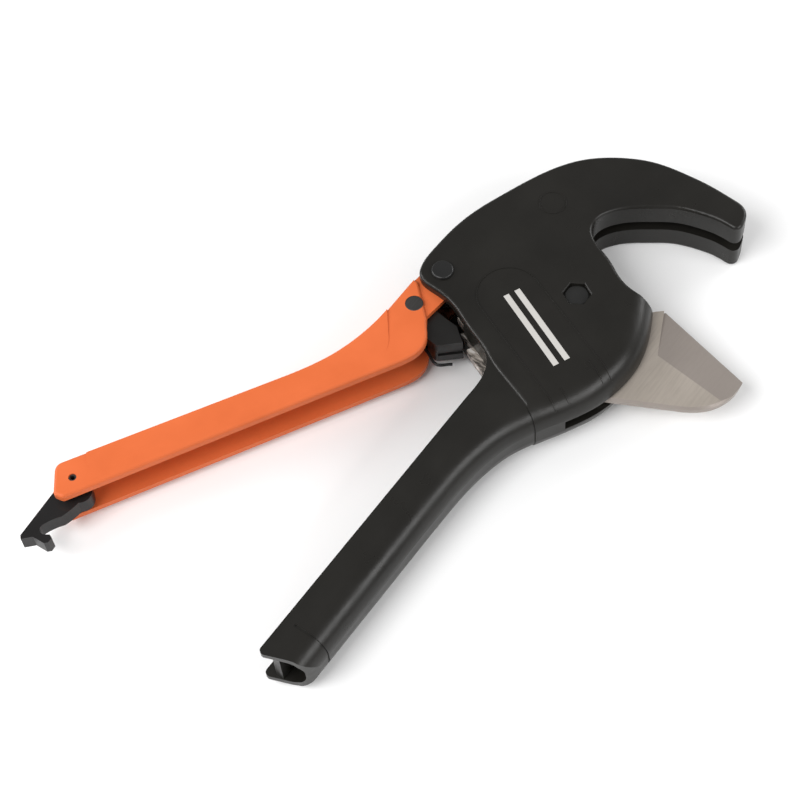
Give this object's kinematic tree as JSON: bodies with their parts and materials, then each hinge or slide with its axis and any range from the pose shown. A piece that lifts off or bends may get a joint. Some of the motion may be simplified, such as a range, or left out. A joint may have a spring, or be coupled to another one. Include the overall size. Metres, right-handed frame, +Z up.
{
  "type": "ratchet plastic pipe cutter",
  "caption": "Hand-held ratchet cutter for plastic pipe: hooked die-cast body with handle, pointed swinging blade, pivoted orange lever with drive pawl and closing latch.",
  "frame": {"origin": "bottom centre of the open tool's bounding box, with the tool lying flat on its side", "axes": "+X along the fixed handle from its free end towards the jaw, +Y from the fixed handle towards the opened lever, +Z up through the tool's thickness, parallel to every pivot"},
  "size_m": [0.3382, 0.2336, 0.0325],
  "materials": {
    "body_paint": "near-black warm powder coat over a die casting, satin, lightly worn at the edges",
    "lever_paint": "orange satin coating",
    "blade_steel": "satin hardened stainless, ground bevels",
    "black_steel": "black-oxided steel",
    "pawl_steel": "black-oxided hardened steel, slightly oily",
    "latch_steel": "black-coated steel",
    "pin_steel": "dark grey ground steel",
    "bush_steel": "turned steel",
    "spring_steel": "black spring wire"
  },
  "bodies": {
    "body": {"main_body": "body_paint", "pivot_bolt": "black_steel", "pivot_nut": "black_steel", "pivot_bush": "bush_steel", "blade_shim": "bush_steel", "friction_washer": "spring_steel", "hold_pawl_pin": "pin_steel", "hold_pawl_spring": "spring_steel", "lever_pin": "black_steel", "lever_pin_ring": "spring_steel"},
    "blade": {"blade": "blade_steel"},
    "hold_pawl": {"hold_pawl": "pawl_steel"},
    "lever": {"lever": "lever_paint", "lever_sleeve": "bush_steel", "lever_spring": "spring_steel", "pawl_pin": "pin_steel", "latch_pin": "pin_steel", "latch_spring": "spring_steel"},
    "drive_pawl": {"drive_pawl": "pawl_steel", "pawl_spring": "spring_steel"},
    "latch": {"latch": "latch_steel"}
  },
  "joints": [
    {"name": "blade_swing", "type": "hinge", "parent": "body", "child": "blade", "pos_m": [0.07847, -0.02961, 0.0155], "axis": [0, 0, 1], "range_deg": [-15, 85]},
    {"name": "hold_pawl_lift", "type": "hinge", "parent": "body", "child": "hold_pawl", "pos_m": [0.08407, 0.03359, 0.0155], "axis": [0, 0, 1], "range_deg": [-7, 0], "stiffness_Nm_per_rad": 0.02, "deforming": ["hold_pawl_spring"]},
    {"name": "lever_squeeze", "type": "hinge", "parent": "body", "child": "lever", "pos_m": [0.05337, 0.03109, 0.0155], "axis": [0, 0, 1], "range_deg": [0, 31], "stiffness_Nm_per_rad": 0.15, "deforming": ["lever_spring", "pawl_spring"]},
    {"name": "drive_pawl_swing", "type": "hinge", "parent": "lever", "child": "drive_pawl", "pos_m": [0.03227, 0.03289, 0.0155], "axis": [0, 0, 1], "range_deg": [-55, 0]},
    {"name": "latch_swing", "type": "hinge", "parent": "lever", "child": "latch", "pos_m": [-0.13373, 0.10639, 0.0155], "axis": [0, 0, 1], "range_deg": [0, 42], "deforming": ["latch_spring"]}
  ],
  "couplings": [
    {"joint": "drive_pawl_swing", "follows": "lever_squeeze", "ratio": -1.75}
  ]
}
